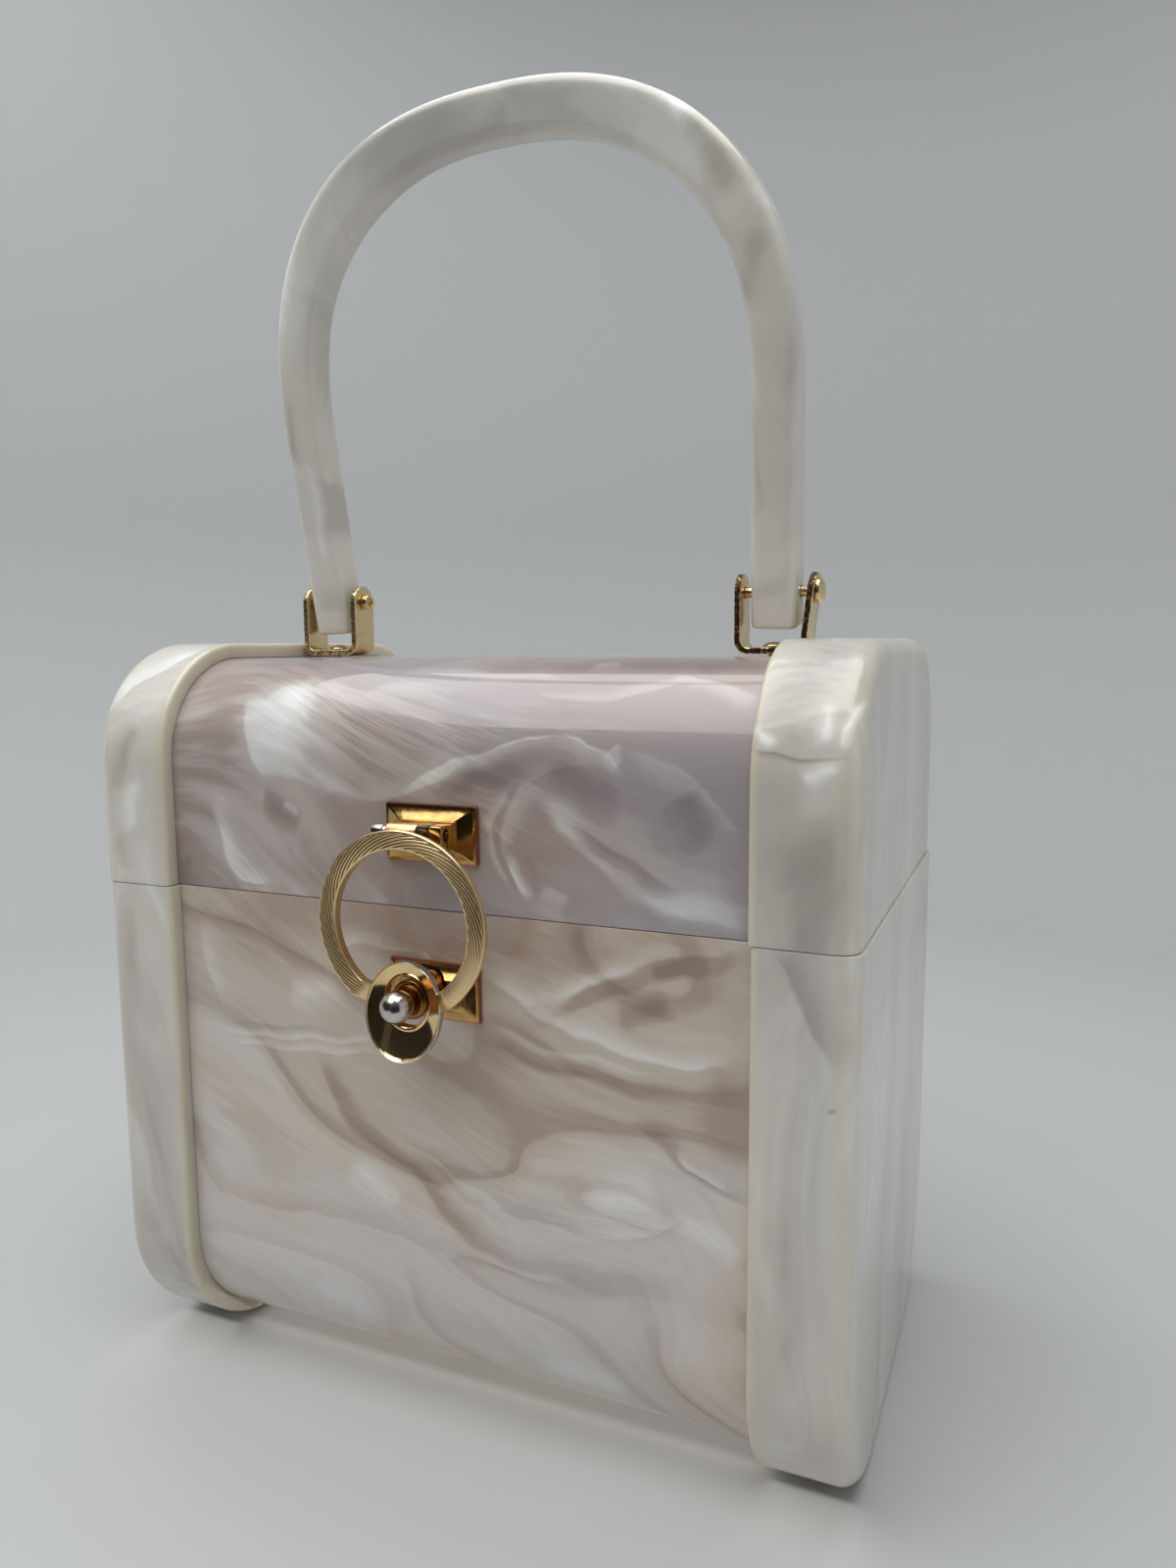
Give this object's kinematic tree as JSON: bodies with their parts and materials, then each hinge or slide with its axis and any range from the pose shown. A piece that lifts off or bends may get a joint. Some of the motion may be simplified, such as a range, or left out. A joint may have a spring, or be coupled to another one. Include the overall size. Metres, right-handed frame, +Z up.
{
  "type": "box purse",
  "caption": "Hard marbled box purse with rounded corners, ivory end caps, a swinging arched handle on metal brackets, and a hinged lid that a ring clasp holds shut over a ball-tipped stud.",
  "frame": {"origin": "centre of the footprint, on the floor", "axes": "+Z up, the front with the clasp faces -Y, +X to the right of someone looking at the front"},
  "size_m": [0.1504, 0.1112, 0.2505],
  "materials": {
    "marbled_pearl": "polished acrylic with pinkish-grey pearl marbling",
    "ivory_pearl": "polished ivory pearl acrylic",
    "pale_gold": "worn pale gold plating",
    "warm_gold": "polished warm gold plating",
    "silver": "polished"
  },
  "bodies": {
    "base": {"base_wrap": "marbled_pearl", "base_cap_left": "ivory_pearl", "base_cap_right": "ivory_pearl", "clasp_lower_plate": "warm_gold", "clasp_stud": "warm_gold", "clasp_ball": "silver", "hinge_base_leaf_left": "pale_gold", "hinge_base_leaf_right": "pale_gold", "hinge_pin_left": "silver", "hinge_pin_right": "silver"},
    "lid": {"lid_wrap": "marbled_pearl", "lid_cap_left": "ivory_pearl", "lid_cap_right": "ivory_pearl", "bracket_left": "pale_gold", "bracket_right": "pale_gold", "bracket_rivet_left": "pale_gold", "bracket_rivet_right": "pale_gold", "handle_pin_left": "pale_gold", "handle_pin_right": "pale_gold", "clasp_upper_plate": "warm_gold", "clasp_hinge_pin": "silver", "hinge_lid_leaf_left": "pale_gold", "hinge_lid_leaf_right": "pale_gold"},
    "handle": {"handle": "ivory_pearl"},
    "clasp_ring": {"clasp_ring": "pale_gold"}
  },
  "joints": [
    {"name": "lid_hinge", "type": "hinge", "parent": "base", "child": "lid", "pos_m": [0, 0.05335, 0.1012], "axis": [-1, 0, 0], "range_deg": [0, 105]},
    {"name": "handle_swing", "type": "hinge", "parent": "lid", "child": "handle", "pos_m": [0, 0.00495, 0.1574], "axis": [1, 0, 0], "range_deg": [-109.5, 90.5]},
    {"name": "ring_swing", "type": "hinge", "parent": "lid", "child": "clasp_ring", "pos_m": [0, -0.04565, 0.1159], "axis": [-1, 0, 0], "range_deg": [0, 105]}
  ]
}
